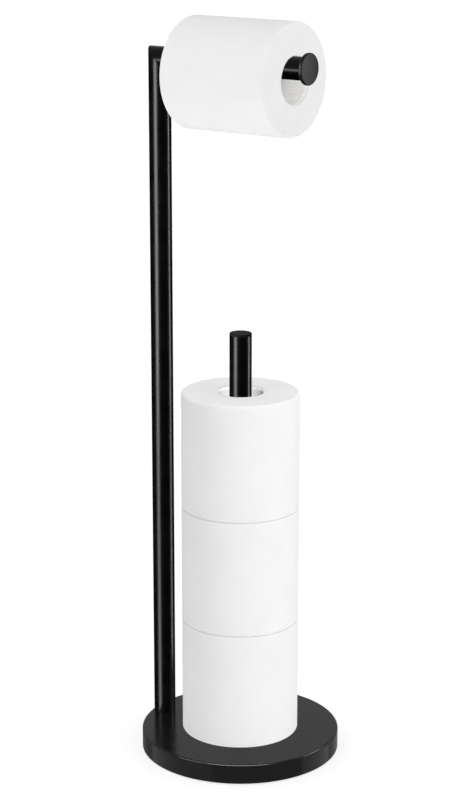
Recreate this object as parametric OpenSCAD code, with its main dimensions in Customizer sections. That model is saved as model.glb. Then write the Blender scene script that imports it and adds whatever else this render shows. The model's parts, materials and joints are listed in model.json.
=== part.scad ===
// Free-standing toilet paper stand: a weighted round base carries a tube post with a side arm
// for the roll in use, and an upright reserve rod that holds three spare rolls.
// The origin is the base's centre on the floor, +Z is up and +X points from the post to the rod.

/* [Stand] */
// Height of the arm's top above the floor
stand_h = 612; // [570:1:700]
// Height of the reserve rod's top above the floor
reserve_h = 375; // [340:1:390]
// Outer diameter of the post, the arm and the reserve rod
tube_d = 19; // [17:0.5:22]
// Wall thickness of the tubes
tube_wall = 1.2; // [1:0.1:1.8]
// Distance from the base's centre to the post's axis
post_offset = 75.5; // [73:0.5:76]
// Reach of the arm, from the post's axis to the face of its end disc
arm_reach = 150; // [146:1:165]
// Turn of the arm about the post, in degrees away from the reserve rod
arm_turn = 9; // [0:1:30]
// Diameter of the disc on the arm's end
end_disc_d = 26; // [23:0.5:30]
// Thickness of the disc on the arm's end
end_disc_t = 3; // [2.5:0.5:4]

/* [Base] */
// Diameter of the round base
base_d = 173; // [172:1:200]
// Height of the base's top above the floor
base_h = 18; // [17:0.5:24]
// Radius of the base's rounded top edge
base_edge = 1.5; // [1.3:0.1:2.5]
// Thickness of the sheet that covers the base
cover_t = 1; // [0.8:0.1:1.2]
// Thickness of the non-slip pad
pad_t = 2; // [1.5:0.5:3]
// Gap between the cover's lower rim and the floor
rim_gap = 1; // [0.5:0.25:1.25]

/* [Rolls] */
// Width of a paper roll, along its core
roll_w = 102; // [95:1:104]
// Outer diameter of a spare roll
spare_d = 102; // [90:1:106]
// Outer diameter of the roll on the arm
hanging_d = 94; // [60:1:110]
// Outer diameter of the cardboard core
core_d = 40.6; // [38:0.2:44]
// Thickness of the core's wall
core_t = 0.8; // [0.5:0.1:1.2]
// Distance from the post's axis to the near end of the roll on the arm
roll_start = 34; // [20:0.5:35]
// Radius of a roll's rounded rims
roll_edge = 1.5; // [1:0.5:4]

/* [Hidden] */
$fn = 96;

// How far a cut reaches past each face that it opens
cut = 1;

// Tubes
tube_r = tube_d / 2;
tube_bore_r = tube_r - tube_wall;
arm_z = stand_h - tube_r;
arm_end_x = arm_reach - end_disc_t;
disc_edge = 0.8;
spigot_len = 12;
rod_cap_t = 2;
rod_cap_chamfer = 0.4;
rod_spigot_len = 8;

// Base
base_r = base_d / 2;
weight_gap = 0.4;
weight_r = base_r - cover_t - weight_gap;
weight_edge = base_edge;
pad_inset = 0.7;
pad_r = weight_r - pad_inset;
cup_r = 8;
cup_top = 10;

// M6 fasteners, one set under the post and one under the reserve rod
fastener_x = [-post_offset, 0];
screw_d = 6;
screw_len = 25;
screw_hole_d = 6.6;
thread_gap = 0.05;
washer_d = 12;
washer_t = 1.6;
washer_hole_d = 6.4;
lock_d = 11.8;
lock_t = 1.6;
lock_slit = 10;
head_d = 10.5;
head_h = 3.3;
head_rim = 0.6;
socket_af = 4;
socket_depth = 2;
insert_len = 18;
lock_top = cup_top - washer_t;
head_top = lock_top - lock_t;

// Rolls
core_bore_r = core_d / 2 - core_t;
core_inset = 0.5;
hang_gap = 0.3;
hang_z = arm_z - (core_bore_r - tube_r - hang_gap);

// Half section of a disc whose upper outer edge is rounded
module rounded_top(r, h, edge) {
    square([r, h - edge]);
    square([r - edge, h]);
    translate([r - edge, h - edge]) circle(edge);
}

// Half section of a ring or a disc whose two outer edges are rounded
module rounded_rims(r_in, r_out, w, edge) {
    translate([r_in, edge]) square([r_out - r_in, w - 2 * edge]);
    translate([r_in, 0]) square([r_out - r_in - edge, w]);
    for (z = [edge, w - edge]) {
        translate([r_out - edge, z]) circle(edge);
    }
}

// Upright tube that starts at the origin
module tube(len) {
    difference() {
        cylinder(r = tube_r, h = len);
        translate([0, 0, -cut]) cylinder(r = tube_bore_r, h = len + 2 * cut);
    }
}

// Places a piece that is drawn with the post on the Z axis and the arm along +X
module on_post() {
    translate([-post_offset, 0, 0])
        rotate([0, 0, -arm_turn])
            children();
}

// Everything on one side of the mitre plane between the post and the arm:
// side 1 is the arm's side, and side -1 is the post's
module mitre_side(side) {
    block = 4 * tube_d;
    translate([0, 0, arm_z])
        rotate([0, 45, 0])
            translate([0, 0, side * block / 2])
                cube([block, block, block], center = true);
}

// Disc lying on the floor plane with its hole pattern cut through
module drilled(hole_r) {
    difference() {
        children();
        for (x = fastener_x) {
            translate([x, 0, -cut]) cylinder(r = hole_r, h = base_h + 2 * cut);
        }
    }
}

module base_cover() {
    skirt_h = base_h - rim_gap;
    color("#1c1c1c")
        drilled(screw_hole_d / 2)
            translate([0, 0, rim_gap])
                rotate_extrude()
                    difference() {
                        rounded_top(base_r, skirt_h, base_edge);
                        rounded_top(base_r - cover_t, skirt_h - cover_t, base_edge - cover_t);
                    }
}

module base_weight() {
    color("#55524e")
        difference() {
            drilled(screw_hole_d / 2)
                translate([0, 0, pad_t])
                    rotate_extrude()
                        rounded_top(weight_r, base_h - cover_t - pad_t, weight_edge);
            for (x = fastener_x) {
                translate([x, 0, 0]) cylinder(r = cup_r, h = cup_top);
            }
        }
}

module base_pad() {
    color("#303030")
        drilled(cup_r)
            cylinder(r = pad_r, h = pad_t);
}

module post_tube() {
    color("#1c1c1c")
        on_post()
            difference() {
                translate([0, 0, base_h]) tube(stand_h - base_h);
                mitre_side(1);
            }
}

module arm_tube() {
    color("#1c1c1c")
        on_post()
            difference() {
                translate([-tube_r, 0, arm_z])
                    rotate([0, 90, 0])
                        tube(arm_end_x + tube_r);
                mitre_side(-1);
            }
}

module arm_end_cap() {
    color("#262626")
        on_post()
            translate([arm_end_x, 0, arm_z])
                rotate([0, 90, 0]) {
                    rotate_extrude() rounded_rims(0, end_disc_d / 2, end_disc_t, disc_edge);
                    translate([0, 0, -spigot_len]) cylinder(r = tube_bore_r, h = spigot_len + disc_edge);
                }
}

module reserve_rod() {
    color("#1c1c1c")
        translate([0, 0, base_h])
            tube(reserve_h - rod_cap_t - base_h);
}

module reserve_rod_cap() {
    rim_h = rod_cap_t - rod_cap_chamfer;
    color("#262626")
        translate([0, 0, reserve_h - rod_cap_t]) {
            cylinder(r = tube_r, h = rim_h);
            translate([0, 0, rim_h])
                cylinder(r1 = tube_r, r2 = tube_r - rod_cap_chamfer, h = rod_cap_chamfer);
            translate([0, 0, -rod_spigot_len]) cylinder(r = tube_bore_r, h = rod_spigot_len + rim_h);
        }
}

module threaded_inserts() {
    color("#a8a8a4")
        for (x = fastener_x) {
            translate([x, 0, base_h])
                difference() {
                    cylinder(r = tube_bore_r, h = insert_len);
                    translate([0, 0, -cut])
                        cylinder(r = screw_d / 2 + thread_gap, h = insert_len + 2 * cut);
                }
        }
}

// Button-head screw with its head's upper face at the origin and its shank pointing up
module screw() {
    dome_h = head_h - head_rim;
    dome_r = (pow(head_d / 2, 2) + pow(dome_h, 2)) / (2 * dome_h);
    cylinder(d = screw_d, h = screw_len);
    difference() {
        intersection() {
            translate([0, 0, -head_h]) cylinder(d = head_d, h = head_h);
            translate([0, 0, dome_r - head_h]) sphere(dome_r);
        }
        translate([0, 0, -head_h - cut])
            cylinder(d = socket_af / cos(30), h = socket_depth + cut, $fn = 6);
    }
}

module base_screws() {
    color("#b0b0ac")
        for (x = fastener_x) {
            translate([x, 0, head_top]) screw();
        }
}

module lock_washers() {
    color("#b8b8b4")
        for (x = fastener_x) {
            translate([x, 0, head_top])
                rotate_extrude(angle = 360 - lock_slit)
                    translate([washer_hole_d / 2, 0])
                        square([(lock_d - washer_hole_d) / 2, lock_t]);
        }
}

module flat_washers() {
    color("#b8b8b4")
        for (x = fastener_x) {
            translate([x, 0, lock_top])
                difference() {
                    cylinder(d = washer_d, h = washer_t);
                    translate([0, 0, -cut]) cylinder(d = washer_hole_d, h = washer_t + 2 * cut);
                }
        }
}

// Paper wound on a core, standing on the origin
module wound_paper(d) {
    color("#f2f2f0")
        rotate_extrude()
            rounded_rims(core_d / 2, d / 2, roll_w, roll_edge);
}

// Cardboard tube, a little shorter than the paper around it
module cardboard_core() {
    color("#cfcac2")
        translate([0, 0, core_inset])
            difference() {
                cylinder(d = core_d, h = roll_w - 2 * core_inset);
                translate([0, 0, -cut]) cylinder(r = core_bore_r, h = roll_w + 2 * cut);
            }
}

// Lays an upright roll on the arm
module on_arm() {
    on_post()
        translate([roll_start, 0, hang_z])
            rotate([0, 90, 0])
                children();
}

// Stands a roll on the reserve rod, where level 0 is the lowest
module on_rod(level) {
    translate([0, 0, base_h + level * roll_w])
        children();
}

module hanging_roll_paper() on_arm() wound_paper(hanging_d);
module hanging_roll_core() on_arm() cardboard_core();
module spare_bottom_paper() on_rod(0) wound_paper(spare_d);
module spare_bottom_core() on_rod(0) cardboard_core();
module spare_middle_paper() on_rod(1) wound_paper(spare_d);
module spare_middle_core() on_rod(1) cardboard_core();
module spare_top_paper() on_rod(2) wound_paper(spare_d);
module spare_top_core() on_rod(2) cardboard_core();

base_cover();
base_weight();
base_pad();
post_tube();
arm_tube();
arm_end_cap();
reserve_rod();
reserve_rod_cap();
threaded_inserts();
base_screws();
lock_washers();
flat_washers();
hanging_roll_paper();
hanging_roll_core();
spare_bottom_paper();
spare_bottom_core();
spare_middle_paper();
spare_middle_core();
spare_top_paper();
spare_top_core();
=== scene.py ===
"""Looks for the free-standing toilet paper stand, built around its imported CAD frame.

The stand's own CAD nodes stay and get finished materials, apart from the base's cover, which is
turned again here with a clean edge. The paper rolls are rebuilt as wound tissue on spiral
cardboard cores. Lengths are in metres.
"""

import json
import math
import random

import bmesh
import bpy
from mathutils import Matrix, Vector, noise


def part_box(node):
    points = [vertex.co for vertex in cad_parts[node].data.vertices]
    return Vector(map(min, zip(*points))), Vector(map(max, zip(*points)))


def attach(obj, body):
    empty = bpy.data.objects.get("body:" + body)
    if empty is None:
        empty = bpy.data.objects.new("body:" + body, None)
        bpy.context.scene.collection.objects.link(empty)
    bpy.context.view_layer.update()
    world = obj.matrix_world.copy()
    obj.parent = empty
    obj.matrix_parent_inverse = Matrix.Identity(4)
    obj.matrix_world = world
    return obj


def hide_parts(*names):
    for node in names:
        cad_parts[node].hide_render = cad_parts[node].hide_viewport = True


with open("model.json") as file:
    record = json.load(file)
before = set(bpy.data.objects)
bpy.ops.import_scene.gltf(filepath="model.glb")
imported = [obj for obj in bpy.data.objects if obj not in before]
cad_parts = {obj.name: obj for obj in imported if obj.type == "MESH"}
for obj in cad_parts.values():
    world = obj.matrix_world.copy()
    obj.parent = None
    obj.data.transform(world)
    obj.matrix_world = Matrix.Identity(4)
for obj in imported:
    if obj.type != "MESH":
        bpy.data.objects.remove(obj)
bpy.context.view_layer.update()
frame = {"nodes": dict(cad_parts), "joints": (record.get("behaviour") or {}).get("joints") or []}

MM = 0.001

# Camera at the photograph's viewing angle; its place is that before the turn by the azimuth
CAMERA_AZIMUTH = math.radians(26.43)
CAMERA_PITCH = math.radians(15.08)
CAMERA_DISTANCE = 1.7875
CAMERA_HEIGHT = 0.7978
CAMERA_SIDE = -0.009
CAMERA_LENS_MM = 97.77
SENSOR_MM = 36.0


def cad_nodes(*names):
    """The CAD nodes of those names."""
    return [frame["nodes"][name] for name in names]


# ---------------------------------------------------------------- node helpers

# Most values of a noise texture lie between these two
NOISE_LOW, NOISE_HIGH = 0.3, 0.7


def new_material(name):
    """A node material and its tree, with an empty Principled shader wired to the output."""
    material = bpy.data.materials.new(name)
    material.use_nodes = True
    tree = material.node_tree
    tree.nodes.clear()
    output = tree.nodes.new("ShaderNodeOutputMaterial")
    shader = tree.nodes.new("ShaderNodeBsdfPrincipled")
    tree.links.new(shader.outputs["BSDF"], output.inputs["Surface"])
    return material, tree, shader


def object_coords(tree, scale=(1.0, 1.0, 1.0)):
    """Object coordinates times a scale for each axis."""
    coords = tree.nodes.new("ShaderNodeTexCoord")
    mapping = tree.nodes.new("ShaderNodeMapping")
    mapping.inputs["Scale"].default_value = scale
    tree.links.new(coords.outputs["Object"], mapping.inputs["Vector"])
    return mapping.outputs["Vector"]


def noise_of(tree, vector, scale, detail=2.0, roughness=0.5):
    """A noise texture's value."""
    node = tree.nodes.new("ShaderNodeTexNoise")
    node.inputs["Scale"].default_value = scale
    node.inputs["Detail"].default_value = detail
    node.inputs["Roughness"].default_value = roughness
    tree.links.new(vector, node.inputs["Vector"])
    return node.outputs["Fac"]


def ramp(tree, value, low, high, from_low=0.0, from_high=1.0):
    """Maps a value onto the range from low to high."""
    node = tree.nodes.new("ShaderNodeMapRange")
    node.inputs["From Min"].default_value = from_low
    node.inputs["From Max"].default_value = from_high
    node.inputs["To Min"].default_value = low
    node.inputs["To Max"].default_value = high
    tree.links.new(value, node.inputs["Value"])
    return node.outputs["Result"]


def colour_ramp(tree, value, stops):
    """Maps a value onto colours; stops are (position, (r, g, b))."""
    node = tree.nodes.new("ShaderNodeValToRGB")
    elements = node.color_ramp.elements
    while len(elements) < len(stops):
        elements.new(0.5)
    for element, (position, colour) in zip(elements, stops):
        element.position = position
        element.color = (*colour, 1.0)
    tree.links.new(value, node.inputs["Fac"])
    return node.outputs["Color"]


def two_tones(tree, noise_value, dark, light):
    """Colours a noise from dark to light over the range that most of its values lie in."""
    return colour_ramp(tree, noise_value, [(NOISE_LOW, dark), (NOISE_HIGH, light)])


def bump(tree, height, strength, distance, after=None):
    """A bump node on top of an earlier one."""
    node = tree.nodes.new("ShaderNodeBump")
    node.inputs["Strength"].default_value = strength
    node.inputs["Distance"].default_value = distance
    tree.links.new(height, node.inputs["Height"])
    if after is not None:
        tree.links.new(after, node.inputs["Normal"])
    return node.outputs["Normal"]


# ---------------------------------------------------------------- materials

COAT_BLUE = 1.03
COAT_UNEVENNESS = 0.03


def black_coat(name, dark, light, roughness, specular):
    """Fine black coating on steel, from a dark to a lighter tone, with a slight orange peel."""
    material, tree, shader = new_material(name)
    coords = object_coords(tree)
    mottle = noise_of(tree, coords, 55.0, 3.0)
    tones = [(tone, tone, tone * COAT_BLUE) for tone in (dark, light)]
    tree.links.new(two_tones(tree, mottle, *tones), shader.inputs["Base Color"])
    smooth, rough = roughness - COAT_UNEVENNESS, roughness + COAT_UNEVENNESS
    gloss = ramp(tree, mottle, smooth, rough, NOISE_LOW, NOISE_HIGH)
    tree.links.new(gloss, shader.inputs["Roughness"])
    peel = noise_of(tree, coords, 900.0, 2.0)
    grain = noise_of(tree, coords, 3600.0, 1.0)
    normal = bump(tree, peel, 0.02, 0.00012)
    normal = bump(tree, grain, 0.015, 0.00005, normal)
    tree.links.new(normal, shader.inputs["Normal"])
    shader.inputs["Specular IOR Level"].default_value = specular
    return material


def satin_tube():
    """Satin black paint of the tubes."""
    return black_coat("satin_black_paint", 0.0005, 0.0009, 0.25, 0.16)


def satin_disc():
    """Flatter black of the disc on the arm's end."""
    return black_coat("satin_black_disc", 0.003, 0.005, 0.32, 0.14)


def matt_cap():
    """Matt black of the rod's cap."""
    return black_coat("matt_black_cap", 0.003, 0.005, 0.55, 0.08)


def powder_coat():
    """Powder coat of the base, a little lighter than the tubes."""
    return black_coat("black_powder_coat", 0.0012, 0.0022, 0.18, 0.235)


def cast_iron():
    """Rough raw casting."""
    material, tree, shader = new_material("raw_cast_iron")
    coords = object_coords(tree)
    blotch = noise_of(tree, coords, 40.0, 4.0)
    sand = noise_of(tree, coords, 700.0, 3.0)
    colour = two_tones(tree, blotch, (0.045, 0.042, 0.04), (0.095, 0.088, 0.082))
    tree.links.new(colour, shader.inputs["Base Color"])
    tree.links.new(ramp(tree, sand, 0.6, 0.85), shader.inputs["Roughness"])
    tree.links.new(bump(tree, sand, 0.5, 0.0004), shader.inputs["Normal"])
    shader.inputs["Metallic"].default_value = 0.6
    return material


def foam_rubber():
    """Closed-cell non-slip pad with small pores, whose hollows are painted darker as painted shade.
    """
    material, tree, shader = new_material("black_foam_rubber")
    coords = object_coords(tree)
    pores = tree.nodes.new("ShaderNodeTexVoronoi")
    pores.inputs["Scale"].default_value = 1400.0
    tree.links.new(coords, pores.inputs["Vector"])
    cells = pores.outputs["Distance"]
    # Painted shade: the pores are painted darker than the face round them, as the shade that falls
    # inside them
    stops = [(0.0, (0.008, 0.008, 0.008)), (0.5, (0.026, 0.026, 0.027))]
    colour = colour_ramp(tree, cells, stops)
    tree.links.new(colour, shader.inputs["Base Color"])
    tree.links.new(ramp(tree, cells, 0.95, 0.8, 0.0, 0.6), shader.inputs["Roughness"])
    tree.links.new(bump(tree, cells, 0.5, 0.0002), shader.inputs["Normal"])
    shader.inputs["Specular IOR Level"].default_value = 0.3
    return material


def zinc_steel():
    """Zinc-plated fastener steel with a faint brushed grain."""
    material, tree, shader = new_material("zinc_plated_steel")
    grain = noise_of(tree, object_coords(tree, (1.0, 1.0, 12.0)), 500.0, 3.0)
    cloud = noise_of(tree, object_coords(tree), 160.0, 2.0)
    colour = two_tones(tree, cloud, (0.42, 0.43, 0.44), (0.56, 0.56, 0.53))
    tree.links.new(colour, shader.inputs["Base Color"])
    tree.links.new(ramp(tree, grain, 0.25, 0.45), shader.inputs["Roughness"])
    tree.links.new(bump(tree, grain, 0.15, 0.00008), shader.inputs["Normal"])
    shader.inputs["Metallic"].default_value = 1.0
    return material


DOT_PITCH = 1.6 * MM


def tissue():
    """Soft white tissue: fine raised dots on its wrapped face, and loose fibres all over."""
    material, tree, shader = new_material("soft_white_tissue")
    coords = object_coords(tree)
    cloud = noise_of(tree, coords, 30.0, 3.0)
    fibre = noise_of(tree, coords, 2600.0, 3.0, 0.7)
    colour = two_tones(tree, cloud, (0.84, 0.84, 0.835), (0.875, 0.875, 0.87))
    tree.links.new(colour, shader.inputs["Base Color"])
    tree.links.new(ramp(tree, fibre, 0.82, 0.98), shader.inputs["Roughness"])

    wrap = tree.nodes.new("ShaderNodeAttribute")
    wrap.attribute_name = "wrap"
    dots = tree.nodes.new("ShaderNodeTexVoronoi")
    dots.inputs["Scale"].default_value = 1.0 / DOT_PITCH
    dots.inputs["Randomness"].default_value = 0.25
    tree.links.new(wrap.outputs["Vector"], dots.inputs["Vector"])
    raised = ramp(tree, dots.outputs["Distance"], 1.0, 0.0, 0.1, 0.5)
    normal = bump(tree, raised, 0.12, 0.00012)
    normal = bump(tree, fibre, 0.25, 0.00012, normal)
    tree.links.new(normal, shader.inputs["Normal"])
    shader.inputs["Specular IOR Level"].default_value = 0.15
    shader.inputs["Sheen Weight"].default_value = 0.08
    shader.inputs["Sheen Roughness"].default_value = 0.6
    return material


def core_board():
    """Pale recycled board with flecks and faint fibre streaks along the tube."""
    material, tree, shader = new_material("pale_core_board")
    coords = object_coords(tree)
    flecks = noise_of(tree, coords, 1500.0, 2.0, 0.6)
    streak = noise_of(tree, object_coords(tree, (1.0, 1.0, 0.15)), 420.0, 3.0)
    tone = tree.nodes.new("ShaderNodeMath")
    tone.operation = "MULTIPLY"
    tree.links.new(flecks, tone.inputs[0])
    tree.links.new(streak, tone.inputs[1])
    stops = [(0.15, (0.76, 0.75, 0.735)), (0.3, (0.84, 0.835, 0.825)), (0.5, (0.87, 0.865, 0.86))]
    tree.links.new(colour_ramp(tree, tone.outputs["Value"], stops), shader.inputs["Base Color"])
    tree.links.new(ramp(tree, streak, 0.8, 0.95), shader.inputs["Roughness"])
    tree.links.new(bump(tree, streak, 0.3, 0.0001), shader.inputs["Normal"])
    shader.inputs["Specular IOR Level"].default_value = 0.2
    return material


TUBE_NODES = ["post_tube", "arm_tube", "reserve_rod"]
FASTENER_NODES = ["threaded_inserts", "base_screws", "lock_washers", "flat_washers"]


def finish_cad_nodes():
    """Gives each CAD node that stays its finished material."""
    finishes = {name: satin_tube for name in TUBE_NODES}
    finishes.update({name: zinc_steel for name in FASTENER_NODES})
    finishes["arm_end_cap"] = satin_disc
    finishes["reserve_rod_cap"] = matt_cap
    finishes["base_weight"] = cast_iron
    finishes["base_pad"] = foam_rubber
    made = {}
    for name, make in finishes.items():
        if make not in made:
            made[make] = make()
        for slot in frame["nodes"][name].material_slots:
            slot.material = made[make]


# ---------------------------------------------------------------- mesh helpers

SAME_PLACE = 0.0001 * MM
EDGE_STEPS = 5


def mesh_object(name, points, faces, material):
    """A smooth-shaded object made of those points and faces."""
    mesh = bpy.data.meshes.new(name)
    mesh.from_pydata(points, [], faces)
    mesh.materials.append(material)
    mesh.validate()
    mesh.update()
    mesh.polygons.foreach_set("use_smooth", [True] * len(mesh.polygons))
    piece = bpy.data.objects.new(name, mesh)
    bpy.context.scene.collection.objects.link(piece)
    return piece


def weld(piece):
    """Joins a piece's points that lie in the same place."""
    mesh = bmesh.new()
    mesh.from_mesh(piece.data)
    bmesh.ops.remove_doubles(mesh, verts=mesh.verts, dist=SAME_PLACE)
    mesh.to_mesh(piece.data)
    mesh.free()


def swept_ring(columns, count):
    """Points and faces of a closed ring, from a section for each of its columns.

    Each column is a closed loop of count points. The last column is joined back to the first.
    """
    points = [point for column in columns for point in column]
    faces = []
    for i in range(len(columns)):
        a = i * count
        b = ((i + 1) % len(columns)) * count
        for j in range(count):
            k = (j + 1) % count
            faces.append((a + j, b + j, b + k, a + k))
    return points, faces


def quarter_turn(centre_r, centre_z, radius, first, last):
    """Points of a quarter circle in a section, between two angles in degrees."""
    points = []
    for i in range(EDGE_STEPS + 1):
        angle = math.radians(first + (last - first) * i / EDGE_STEPS)
        points.append((centre_r + radius * math.cos(angle), centre_z + radius * math.sin(angle)))
    return points


# ---------------------------------------------------------------- paper rolls

# Outer sheet: its thickness, how deep the step at its end reaches, and how loosely it lies
SHEET = 0.45 * MM
SHEET_STEP_DEPTH = 1.2 * MM
SLACK = 0.12 * MM

# Rings: the layers that show on a roll's ends
RING_PITCH = 0.8 * MM
RING_HEIGHT = 0.22 * MM
RING_WOBBLE = 0.1 * MM
RINGS_TO_FADE = 2

# Noise scales, as (round the roll, for each metre along or across it)
SLACK_NOISE = (1.3, 14.0)
RING_NOISE = (2.0, 90.0)

END_GAP = 0.05 * MM
SIDE_STEPS = 26
TURN_STEPS = 220


def end_rings(bore_r, rim_r, seed):
    """Radii and small heights of the wound layers seen on a roll's end, from the bore outwards."""
    rng = random.Random(seed)
    count = round((rim_r - bore_r) / RING_PITCH)
    radii = [bore_r + (rim_r - bore_r) * i / count for i in range(count + 1)]
    heights = [rng.uniform(0.0, RING_HEIGHT) for _ in radii]
    return radii, heights


def paper_section(radius, width, rims, ends):
    """Points of a roll's section, as (radius, z, number of the end or None, number of the ring)."""
    lower, upper = rims
    section = [(r, 0.0, 0, ring) for ring, r in enumerate(ends[0][0])]
    side = quarter_turn(radius - lower, lower, lower, -90, 0)[1:]
    for i in range(1, SIDE_STEPS):
        side.append((radius, lower + (width - lower - upper) * i / SIDE_STEPS))
    side += quarter_turn(radius - upper, width - upper, upper, 0, 90)
    section += [(r, z, None, 0) for r, z in side]
    upper_rings = list(enumerate(ends[1][0]))[:-1]
    section += [(r, width, 1, ring) for ring, r in reversed(upper_rings)]
    return section


def noise_round(c, s, scales, distance, seed):
    """Smooth noise from -1 to 1 that closes on itself round a roll."""
    around, along = scales
    return noise.noise(Vector((c * around, s * around, distance * along + seed)))


def ring_lift(end, ring, r, c, s, seed):
    """How far a ring lies inside its end's plane; this fades out at the bore and the rim."""
    radii, heights = end
    fade = min(1.0, ring / RINGS_TO_FADE, (len(radii) - 1 - ring) / RINGS_TO_FADE)
    wobble = 1 + noise_round(c, s, RING_NOISE, r, seed)
    return (heights[ring] + wobble * RING_WOBBLE) * fade


def build_paper(name, radius, bore_r, width, rims, tail, seed, material):
    """Tissue wound on local Z from 0 to width; rims are the lower and the upper rim's radius.

    The outer sheet ends at the angle tail in a step as thick as the sheet.
    """
    ends = [end_rings(bore_r, radius - rim, seed + end) for end, rim in enumerate(rims)]
    section = paper_section(radius, width, rims, ends)
    columns = []
    for i in range(TURN_STEPS + 1):
        share = i / TURN_STEPS
        angle = tail + 2 * math.pi * share
        c, s = math.cos(angle), math.sin(angle)
        column = []
        for r, z, end, ring in section:
            step = SHEET * share * max(0.0, 1.0 - (radius - r) / SHEET_STEP_DEPTH)
            reach = max(0.0, (r - bore_r) / (radius - bore_r))
            looseness = 1 - noise_round(c, s, SLACK_NOISE, z, seed)
            if end is not None:
                lift = ring_lift(ends[end], ring, r, c, s, seed)
                z += lift if end == 0 else -lift
            r -= step + looseness * SLACK * reach
            column.append((r * c, r * s, z))
        columns.append(column)
    points, faces = swept_ring(columns, len(section))
    piece = mesh_object(name, points, faces, material)

    # Arc length and height of each face corner on the wrapped face, for the raised dots
    wrap = piece.data.attributes.new("wrap", "FLOAT_VECTOR", "CORNER")
    flat = []
    for loop in piece.data.loops:
        column, j = divmod(loop.vertex_index, len(section))
        r, z = section[j][:2]
        flat += [2 * math.pi * radius * column / TURN_STEPS, z + (r - radius), 0.0]
    wrap.data.foreach_set("vector", flat)
    weld(piece)
    return piece


# Cardboard core, wound as a spiral with one turn in each pitch
CORE_WALL = 0.8 * MM
CORE_PITCH = 95 * MM
CORE_OVERLAP = 0.18 * MM
CORE_FRAY = 0.25 * MM
CORE_STEPS = 96
CORE_ROWS = 40
FRAY_SHIFT = 7


def build_core(name, outer_r, bore_r, length, first, seed, material):
    """A spiral-wound cardboard tube on local Z from 0 to length.

    Its overlap is a low step in the bore, at the angle first on its lower end. Both ends have the
    same fray, and the upper one's is shifted round by some steps.
    """
    rng = random.Random(seed)
    rows = [length * i / CORE_ROWS for i in range(CORE_ROWS + 1)]
    section = [(outer_r, z) for z in rows] + [(bore_r, z) for z in reversed(rows)]
    frays = [rng.uniform(0.0, CORE_FRAY) for _ in range(CORE_STEPS + 1)]
    columns = []
    for i in range(CORE_STEPS + 1):
        share = i / CORE_STEPS
        column = []
        for r, z in section:
            angle = first + 2 * math.pi * (share + z / CORE_PITCH)
            if z == 0.0:
                z += frays[i % CORE_STEPS]
            elif z == length:
                z -= frays[(i + FRAY_SHIFT) % CORE_STEPS]
            if r == bore_r:
                r += CORE_OVERLAP * share
            column.append((r * math.cos(angle), r * math.sin(angle), z))
        columns.append(column)
    points, faces = swept_ring(columns, len(section))
    return mesh_object(name, points, faces, material)


def roll_place(body, part):
    """Matrix, width and diameter of a roll's paper or core; local Z is its axis, from one end."""
    low, high = (Vector(corner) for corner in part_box(f"{body}_{part}"))
    spare_low, spare_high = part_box(f"spare_bottom_{part}")
    width = spare_high[2] - spare_low[2]
    joint = next(joint for joint in frame["joints"] if joint["child"] == body)
    if joint["type"] == "hinge":
        axis = Vector(joint["axis"]).normalized()
        middle = Vector(joint["pos_m"])
        diameter = high.z - low.z
    else:
        axis = Vector((0.0, 0.0, 1.0))
        middle = (low + high) / 2
        diameter = high.x - low.x
    turn = axis.to_track_quat("Z", "Y").to_matrix().to_4x4()
    return Matrix.Translation(middle - axis * width / 2) @ turn, width, diameter


def build_roll(body, rims, tail_degrees, overlap_degrees, seed, materials):
    """One roll's paper and core, in place of its two CAD nodes."""
    place, width, diameter = roll_place(body, "paper")
    place = place @ Matrix.Translation((0.0, 0.0, END_GAP))
    core_place, core_length, core_diameter = roll_place(body, "core")
    core_r = core_diameter / 2
    paper = build_paper(
        body + "_tissue", diameter / 2, core_r, width - 2 * END_GAP, rims,
        math.radians(tail_degrees), seed, materials["tissue"],
    )
    core = build_core(
        body + "_tube", core_r, core_r - CORE_WALL, core_length,
        math.radians(overlap_degrees), seed, materials["core_board"],
    )
    pieces = [(paper, place, "paper", "tissue"), (core, core_place, "core", "core_board")]
    for piece, matrix, part, slot in pieces:
        piece.matrix_world = matrix
        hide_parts(f"{body}_{part}")
        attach(piece, body)
    return paper, core


def build_rolls():
    """The roll on the arm and then the three spare rolls: all their papers and all their cores."""
    materials = {"tissue": tissue(), "core_board": core_board()}
    soft, tight = 2.6 * MM, 1.3 * MM
    rolls = [
        build_roll("hanging_roll", (soft, soft), -20, 180, 11, materials),
        build_roll("spare_bottom", (tight, tight), 255, 0, 23, materials),
        build_roll("spare_middle", (tight, tight), 310, 0, 37, materials),
        build_roll("spare_top", (tight, soft), 280, 0, 53, materials),
    ]
    papers, cores = zip(*rolls)
    return papers, cores


# ---------------------------------------------------------------- base cover

COVER_WALL = 1.0 * MM
COVER_EDGE = 1.5 * MM
COVER_FLAT = 0.2 * MM
COVER_STEPS = 192
SCREW_HOLE_R = 3.3 * MM
DRILL_SIDES = 48
SHARP_ANGLE = math.radians(40)


def drill(piece, x, radius, low_z, high_z):
    """Cuts an upright hole through a piece."""
    middle = (x, 0.0, (low_z + high_z) / 2)
    bpy.ops.mesh.primitive_cylinder_add(
        vertices=DRILL_SIDES, radius=radius, depth=high_z - low_z, location=middle
    )
    drill_bit = bpy.context.object
    cut = piece.modifiers.new("hole", "BOOLEAN")
    cut.operation = "DIFFERENCE"
    cut.solver = "EXACT"
    cut.object = drill_bit
    holed = piece.evaluated_get(bpy.context.evaluated_depsgraph_get())
    solid = bpy.data.meshes.new_from_object(holed)
    piece.modifiers.clear()
    piece.data = solid
    bpy.data.objects.remove(drill_bit)


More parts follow.
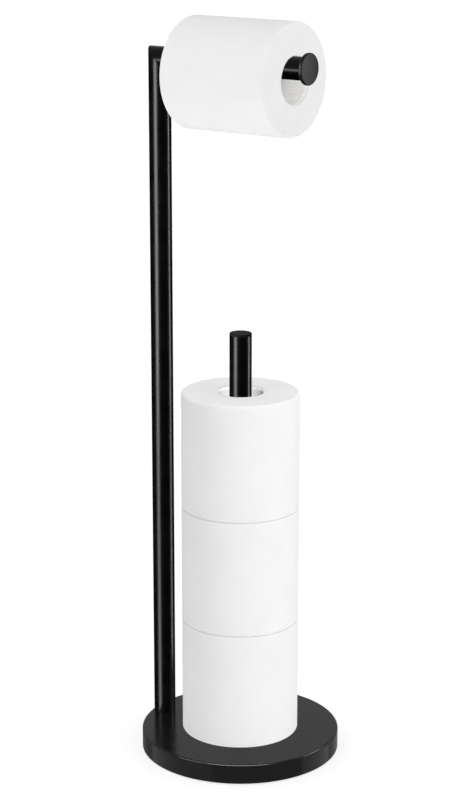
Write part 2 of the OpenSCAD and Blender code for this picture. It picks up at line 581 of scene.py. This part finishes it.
def build_base_cover():
    """The base's sheet cover, turned in one piece so that its rounded edge shines evenly.

    The reserve rod's screw goes through the hole in its middle, and the post's through the other.
    """
    low, high = (Vector(corner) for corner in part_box("base_cover"))
    post_low, post_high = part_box("post_tube")
    post_x = post_low[0] + (post_high[1] - post_low[1]) / 2
    outer_r, top = high.x, high.z
    inner_r, under = outer_r - COVER_WALL, top - COVER_WALL
    inner_edge = COVER_EDGE - COVER_WALL

    # A narrow flat on each side of the rounded edge keeps its shading off the plain faces
    section = [(outer_r, low.z), (outer_r, top - COVER_EDGE - COVER_FLAT)]
    section += quarter_turn(outer_r - COVER_EDGE, top - COVER_EDGE, COVER_EDGE, 0, 90)
    section += [(outer_r - COVER_EDGE - COVER_FLAT, top), (SCREW_HOLE_R, top), (SCREW_HOLE_R, under)]
    section += quarter_turn(inner_r - inner_edge, under - inner_edge, inner_edge, 90, 0)
    section += [(inner_r, low.z)]
    columns = []
    for i in range(COVER_STEPS):
        angle = 2 * math.pi * i / COVER_STEPS
        columns.append([(r * math.cos(angle), r * math.sin(angle), z) for r, z in section])
    points, faces = swept_ring(columns, len(section))
    piece = mesh_object("base_cover_sheet", points, faces, powder_coat())
    drill(piece, post_x, SCREW_HOLE_R, under - COVER_FLAT, top + COVER_FLAT)
    piece.data.set_sharp_from_angle(angle=SHARP_ANGLE)
    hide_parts("base_cover")
    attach(piece, "stand")
    return piece


# ---------------------------------------------------------------- studio

WHITE = (1.0, 1.0, 1.0, 1.0)
TABLE_SIZE = 80.0
TABLE_GLOW = 0.72
BACKDROP_R = 12.0
BACKDROP_SIDES = 96


def build_floor():
    """A wide pale light table."""
    bpy.ops.mesh.primitive_plane_add(size=TABLE_SIZE)
    floor = bpy.context.object
    floor.name = "studio_floor"
    material, tree, shader = new_material("pale_light_table")
    cloud = noise_of(tree, object_coords(tree), 2.0, 2.0)
    colour = two_tones(tree, cloud, (0.58, 0.58, 0.58), (0.6, 0.6, 0.6))
    tree.links.new(colour, shader.inputs["Base Color"])
    shader.inputs["Roughness"].default_value = 0.9
    shader.inputs["Specular IOR Level"].default_value = 0.0
    shader.inputs["Emission Color"].default_value = WHITE
    shader.inputs["Emission Strength"].default_value = TABLE_GLOW
    floor.data.materials.append(material)
    return floor


def build_backdrop():
    """A white wall far off on all sides, which only the camera sees."""
    bpy.ops.mesh.primitive_cylinder_add(
        vertices=BACKDROP_SIDES, radius=BACKDROP_R, depth=2 * BACKDROP_R, end_fill_type="NOTHING"
    )
    wall = bpy.context.object
    wall.name = "studio_backdrop"
    wall.visible_diffuse = False
    wall.visible_glossy = False
    wall.visible_shadow = False
    material, tree, shader = new_material("white_backdrop")
    cloud = noise_of(tree, object_coords(tree), 0.1, 2.0)
    tree.links.new(ramp(tree, cloud, 0.99, 1.0), shader.inputs["Emission Strength"])
    shader.inputs["Emission Color"].default_value = WHITE
    shader.inputs["Base Color"].default_value = (0.9, 0.9, 0.9, 1.0)
    shader.inputs["Roughness"].default_value = 1.0
    shader.inputs["Specular IOR Level"].default_value = 0.0
    wall.data.materials.append(material)


def build_world():
    """Soft surroundings: even above the horizon, dark below it."""
    world = bpy.data.worlds.new("soft_studio")
    world.use_nodes = True
    tree = world.node_tree
    tree.nodes.clear()
    output = tree.nodes.new("ShaderNodeOutputWorld")
    background = tree.nodes.new("ShaderNodeBackground")
    coords = tree.nodes.new("ShaderNodeTexCoord")
    split = tree.nodes.new("ShaderNodeSeparateXYZ")
    tree.links.new(coords.outputs["Generated"], split.inputs["Vector"])
    height = ramp(tree, split.outputs["Z"], 0.0, 1.0, -1.0, 1.0)
    stops = [(0.48, (0.01, 0.01, 0.01)), (0.54, (0.55, 0.55, 0.55)), (1.0, (0.5, 0.5, 0.5))]
    tree.links.new(colour_ramp(tree, height, stops), background.inputs["Color"])
    tree.links.new(background.outputs["Background"], output.inputs["Surface"])
    bpy.context.scene.world = world


def softbox(name, azimuth, distance, height, size, watts, target_height, only):
    """An area light that faces a point on the stand's axis and lights only some objects.

    The azimuth is in degrees from -Y towards +X, the distance is that from the axis, and the size
    is (width, height).
    """
    light = bpy.data.lights.new(name, "AREA")
    light.shape = "RECTANGLE"
    light.size, light.size_y = size
    light.energy = watts
    box = bpy.data.objects.new(name, light)
    angle = math.radians(azimuth)
    box.location = (distance * math.sin(angle), -distance * math.cos(angle), height)
    aim = Vector((0.0, 0.0, target_height)) - box.location
    box.rotation_euler = aim.to_track_quat("-Z", "Y").to_euler()
    light_only(box, only)


def table_glow(watts, only):
    """A disc of light on the base's top, about as bright as the pale table that the base hides."""
    low, high = (Vector(corner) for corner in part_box("base_cover"))
    light = bpy.data.lights.new("table_glow", "AREA")
    light.shape = "DISK"
    light.size = high.x - low.x
    light.energy = watts
    disc = bpy.data.objects.new("table_glow", light)
    disc.location = (0.0, 0.0, high.z)
    disc.rotation_euler = (math.pi, 0.0, 0.0)
    light_only(disc, only)


def light_only(lamp, only):
    """Adds a light that some objects alone receive and block, and that the camera doesn't see."""
    lamp.visible_camera = False
    bpy.context.scene.collection.objects.link(lamp)
    receivers = bpy.data.collections.new(lamp.name + "_lights_only")
    for obj in only:
        receivers.objects.link(obj)
    lamp.light_linking.receiver_collection = receivers
    lamp.light_linking.blocker_collection = receivers


def keep_out_of_reflections(objects):
    """Hides those objects from the black paint, which would mirror them as pale streaks."""
    for obj in objects:
        obj.visible_glossy = False


def keep_from_darkening(objects):
    """Keeps those objects from shading the roll beside them."""
    for obj in objects:
        obj.visible_shadow = False
        obj.visible_diffuse = False


# The paper's lights are large and far off. The metal's are near and in two tiers. The lower tier
# is under the table, which doesn't block it, where the skirt and the tubes' lower parts mirror it.
PAPER_BOX = (1.4, 1.4)
CORE_BOX = (0.8, 0.8)
NEAR = 0.95
UPPER, LOWER = 0.65, -0.45


def build_lights(papers, cores, cover):
    """Large soft boxes for the paper, and narrower ones that draw the highlights on the metal."""
    hanging_paper, spare_papers = papers[:1], papers[1:]
    hanging_core, spare_cores = cores[:1], cores[1:]
    tubes = cad_nodes("post_tube", "reserve_rod")
    arm = cad_nodes("arm_tube")
    caps = cad_nodes("arm_end_cap", "reserve_rod_cap")
    base = [cover]

    # Name, azimuth, distance, height, size, watts, height of the target, what it lights
    softbox("spares_key", 76, 2.2, 0.5, PAPER_BOX, 14.2, 0.2, spare_papers)
    table_glow(0.06, spare_papers)
    softbox("spares_top", 30, 0.5, 2.6, PAPER_BOX, 26, 0.4, spare_papers)
    softbox("hanging_key", 96, 2.2, 0.9, PAPER_BOX, 9.9, 0.6, hanging_paper)
    softbox("hanging_front", -25, 2.4, 0.8, PAPER_BOX, 12.8, 0.6, hanging_paper)
    softbox("hanging_top", 30, 0.5, 2.8, PAPER_BOX, 16, 0.6, hanging_paper)
    softbox("hanging_core_front", 40, 1.6, 1.5, CORE_BOX, 17, 0.5, hanging_core)
    softbox("spare_cores_front", 40, 1.6, 1.5, CORE_BOX, 46, 0.5, spare_cores)
    softbox("left_strip_high", -28, NEAR, UPPER, (0.48, 1.2), 30, UPPER, tubes)
    softbox("left_strip_low", -28, NEAR, LOWER, (0.48, 1.0), 15, LOWER, tubes)
    softbox("right_strip_high", 122, NEAR, UPPER, (0.14, 1.2), 11, UPPER, tubes)
    softbox("right_strip_low", 122, NEAR, LOWER, (0.14, 1.0), 6, LOWER, tubes)
    softbox("arm_light", -42, NEAR, 0.4, (0.6, 0.22), 4.6, 0.6, arm)
    softbox("caps_left", -28, NEAR, UPPER, (0.45, 1.2), 22, UPPER, caps)
    softbox("disc_light", 100.4, 0.127, 0.591, (0.02, 0.06), 0.02, 0.591, caps)
    softbox("base_far_left", -125, NEAR, LOWER, (1.1, 1.0), 0.6, LOWER, base)
    softbox("base_left", -50, NEAR, LOWER, (2.0, 1.0), 4.4, LOWER, base)
    softbox("base_front", 48, NEAR, LOWER, (2.3, 1.0), 3.5, LOWER, base)
    softbox("base_right", 125, NEAR, LOWER, (0.9, 1.0), 2.4, LOWER, base)
    softbox("base_far_right", 175, NEAR, LOWER, (0.8, 1.0), 0.8, LOWER, base)
    softbox("base_rim", 22, 1.2, 2.2, (2.4, 0.6), 180, 0.1, base)
    softbox("base_rim_left", -38, 1.7, 1.2, (1.0, 0.3), 24, 0.0, base)
    softbox("base_rim_right", 126, 1.7, 1.2, (1.0, 0.3), 24, 0.0, base)


def build_camera():
    """The camera at the photograph's viewing angle."""
    data = bpy.data.cameras.new("camera")
    data.sensor_fit = "AUTO"
    data.sensor_width = SENSOR_MM
    data.lens = CAMERA_LENS_MM
    camera = bpy.data.objects.new("camera", data)
    place = Vector((CAMERA_SIDE, -CAMERA_DISTANCE, CAMERA_HEIGHT))
    camera.location = Matrix.Rotation(CAMERA_AZIMUTH, 3, "Z") @ place
    camera.rotation_euler = (math.pi / 2 - CAMERA_PITCH, 0.0, CAMERA_AZIMUTH)
    bpy.context.scene.collection.objects.link(camera)
    bpy.context.scene.camera = camera


finish_cad_nodes()
roll_papers, roll_cores = build_rolls()
cover_sheet = build_base_cover()
table = build_floor()
build_backdrop()
rod = cad_nodes("reserve_rod", "reserve_rod_cap")
keep_out_of_reflections([table, *rod, *roll_papers, *roll_cores])
keep_from_darkening(cad_nodes("arm_tube", "arm_end_cap"))
build_world()
build_lights(roll_papers, roll_cores, cover_sheet)
build_camera()
bpy.context.scene.view_settings.view_transform = "Standard"
